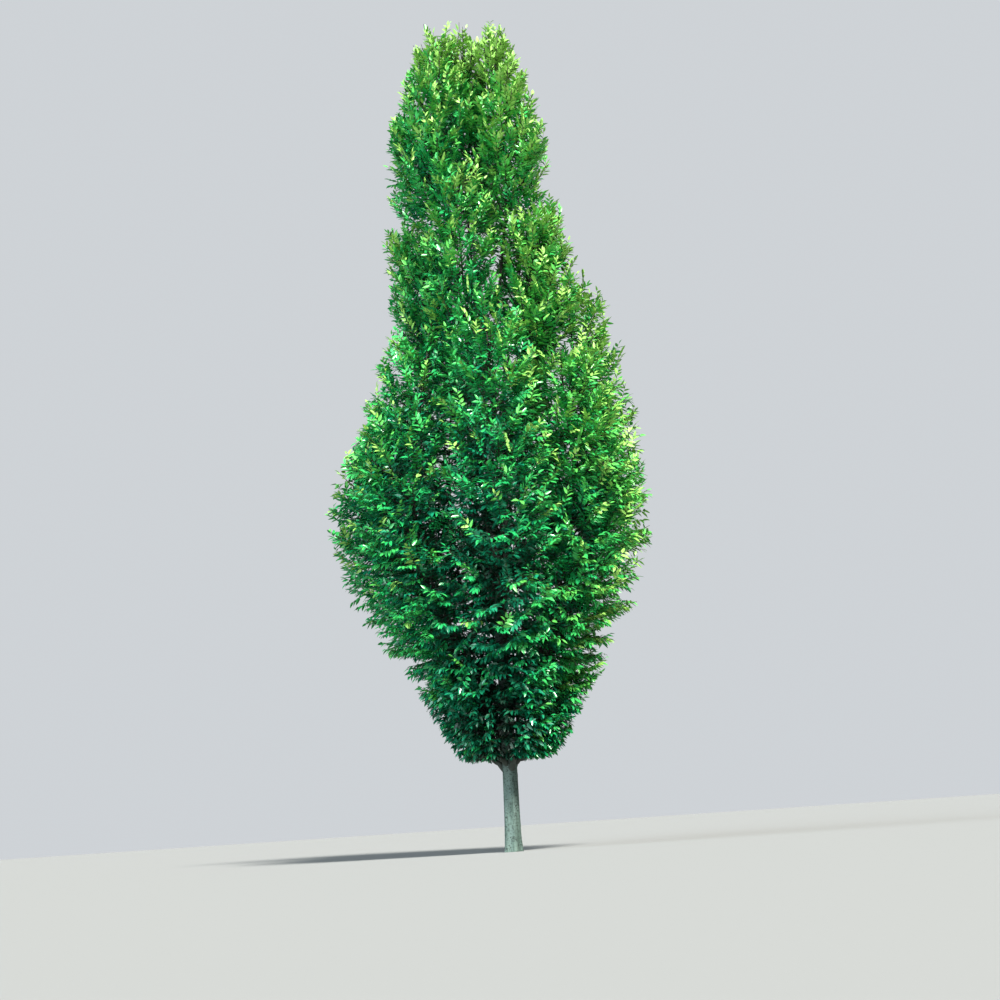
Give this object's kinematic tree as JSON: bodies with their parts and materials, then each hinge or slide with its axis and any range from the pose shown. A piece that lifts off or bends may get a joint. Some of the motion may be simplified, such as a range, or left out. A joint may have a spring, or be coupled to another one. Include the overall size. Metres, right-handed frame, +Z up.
{
  "type": "columnar hornbeam tree",
  "caption": "Columnar broad-leaved tree: a short bare trunk, steep boughs and upright leafy plumes that make a narrow pointed crown on a rounded foot.",
  "frame": {"origin": "middle of the flat cut under the trunk, at ground level", "axes": "+Z up the trunk, +X to the right and -Y towards the viewer of the picture"},
  "size_m": [2.5162, 2.4902, 6.5468],
  "materials": {
    "trunk_bark": "smooth pale grey-green bark",
    "bough_bark": "smooth brown-grey bark",
    "leaves": "deep green leaves with a slight shine",
    "young_leaves": "fresh green leaves with a slight shine"
  },
  "bodies": {
    "root": {"trunk": "trunk_bark", "bough_skirt_1": "bough_bark", "foliage_skirt_1": "leaves", "bough_skirt_2": "bough_bark", "foliage_skirt_2": "leaves", "bough_skirt_3": "bough_bark", "foliage_skirt_3": "leaves", "bough_skirt_4": "bough_bark", "foliage_skirt_4": "leaves", "bough_skirt_5": "bough_bark", "foliage_skirt_5": "leaves", "bough_skirt_6": "bough_bark", "foliage_skirt_6": "leaves", "bough_flank_1": "bough_bark", "foliage_flank_1": "leaves", "bough_flank_2": "bough_bark", "foliage_flank_2": "leaves", "bough_flank_3": "bough_bark", "foliage_flank_3": "leaves", "bough_flank_4": "bough_bark", "foliage_flank_4": "leaves", "bough_flank_5": "bough_bark", "foliage_flank_5": "leaves", "bough_flank_6": "bough_bark", "foliage_flank_6": "leaves", "bough_flank_7": "bough_bark", "foliage_flank_7": "leaves", "bough_shoulder_1": "bough_bark", "foliage_shoulder_1": "leaves", "bough_shoulder_2": "bough_bark", "foliage_shoulder_2": "leaves", "bough_shoulder_3": "bough_bark", "foliage_shoulder_3": "leaves", "bough_shoulder_4": "bough_bark", "foliage_shoulder_4": "leaves", "bough_shoulder_5": "bough_bark", "foliage_shoulder_5": "leaves", "bough_crest_1": "bough_bark", "foliage_crest_1": "young_leaves", "bough_crest_2": "bough_bark", "foliage_crest_2": "young_leaves", "bough_crest_3": "bough_bark", "foliage_crest_3": "young_leaves", "foliage_leader": "young_leaves"}
  },
  "joints": []
}
